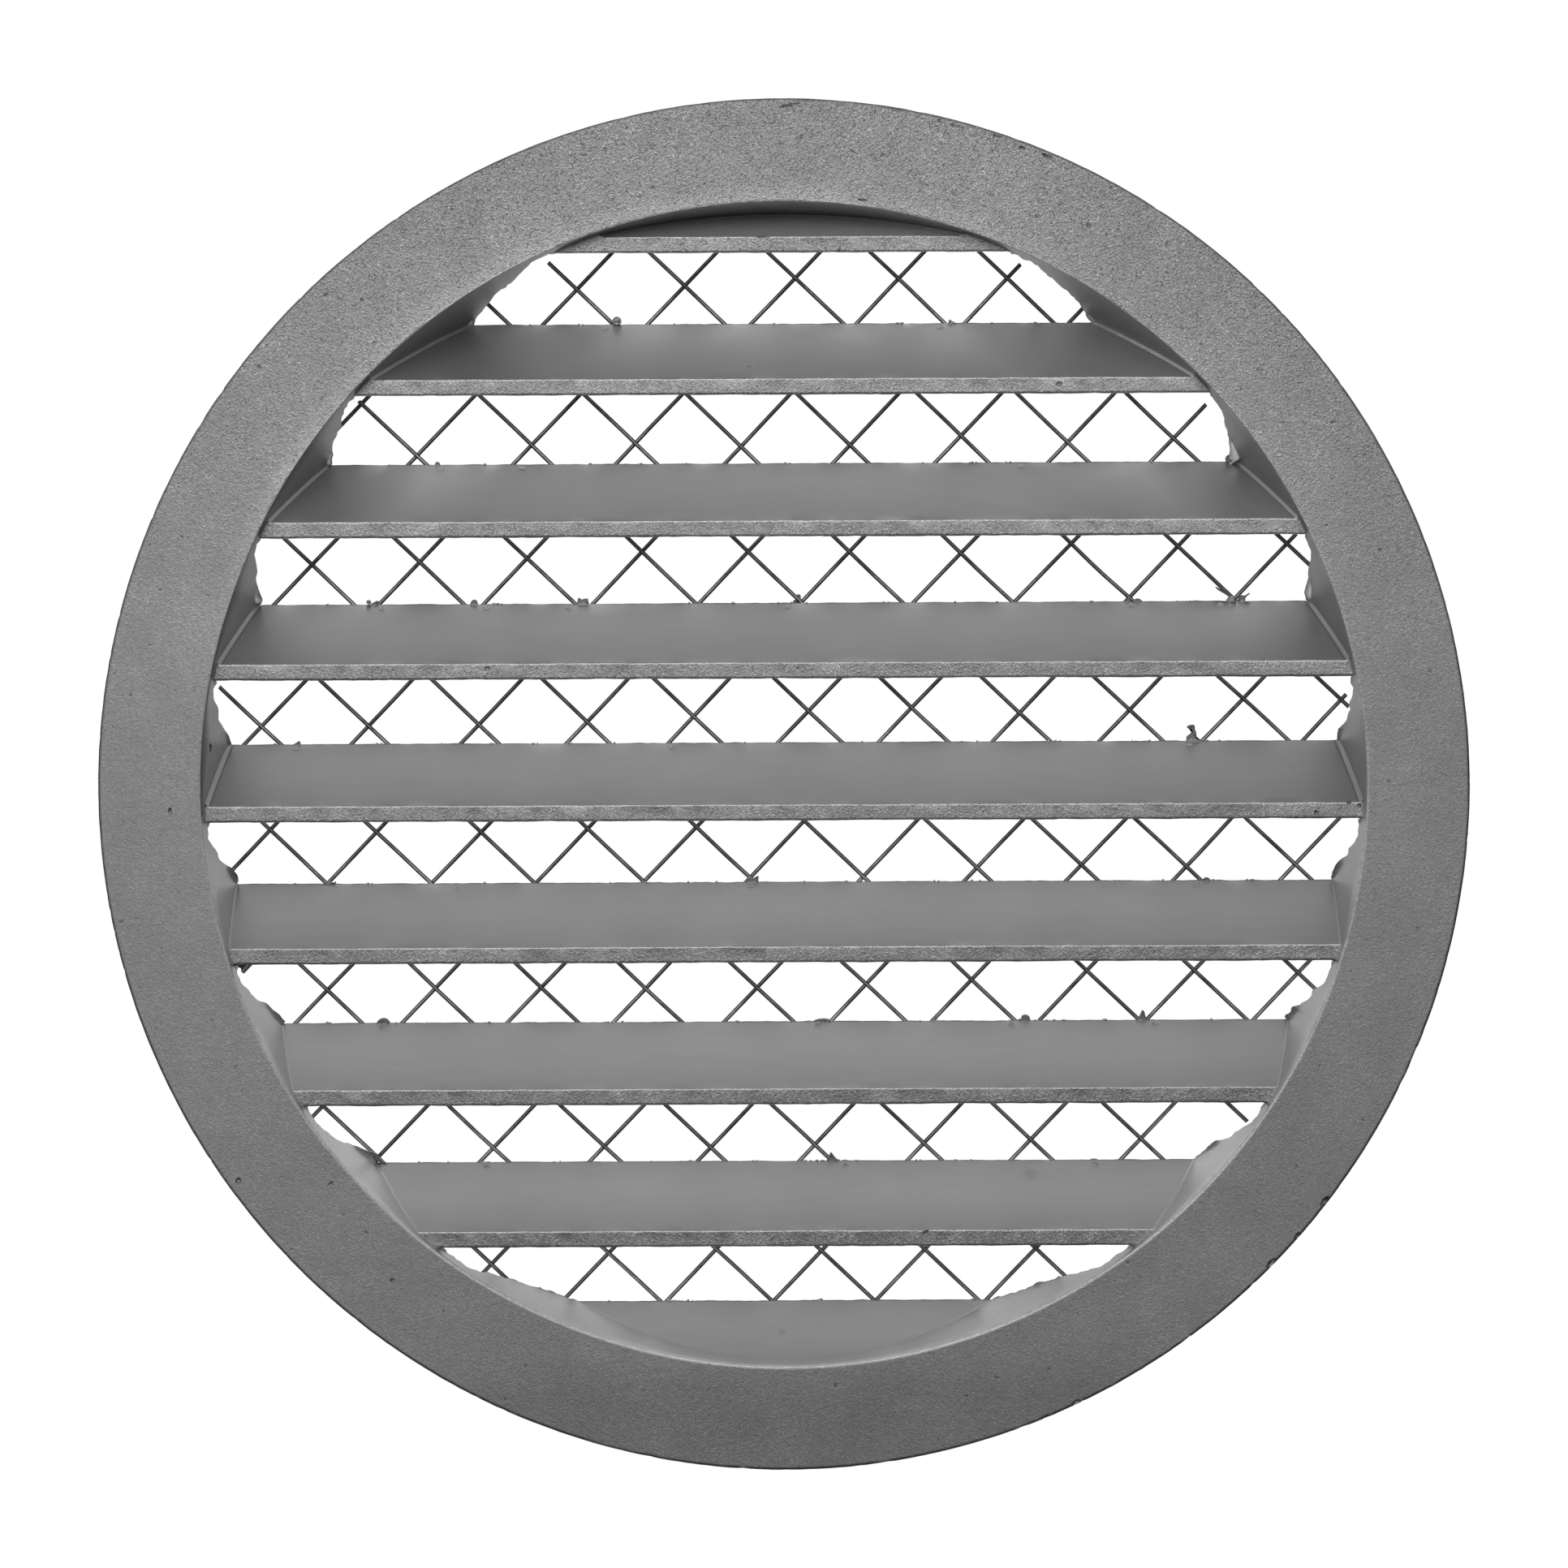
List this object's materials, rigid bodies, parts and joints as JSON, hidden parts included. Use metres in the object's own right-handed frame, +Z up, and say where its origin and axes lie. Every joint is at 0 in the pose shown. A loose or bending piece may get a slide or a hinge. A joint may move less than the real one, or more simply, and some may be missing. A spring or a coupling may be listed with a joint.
{
  "type": "gable vent",
  "caption": "Round cast aluminium gable or wall vent with a flat flange, fixed sloping louvre blades, a duct spigot and a welded wire screen behind the blades.",
  "frame": {"origin": "on the spigot axis, in the plane of the flange's wall face", "axes": "+Y along the spigot into the wall, +Z up, the weather face looks along -Y"},
  "size_m": [0.226, 0.0205, 0.226],
  "materials": {
    "cast_aluminium": "bare die casting, tumbled grainy front faces, smooth as-cast blade faces",
    "galvanised_wire": "dull galvanised welded wire"
  },
  "bodies": {
    "root": {"louvre_casting": "cast_aluminium", "wire_screen": "galvanised_wire"}
  },
  "joints": []
}
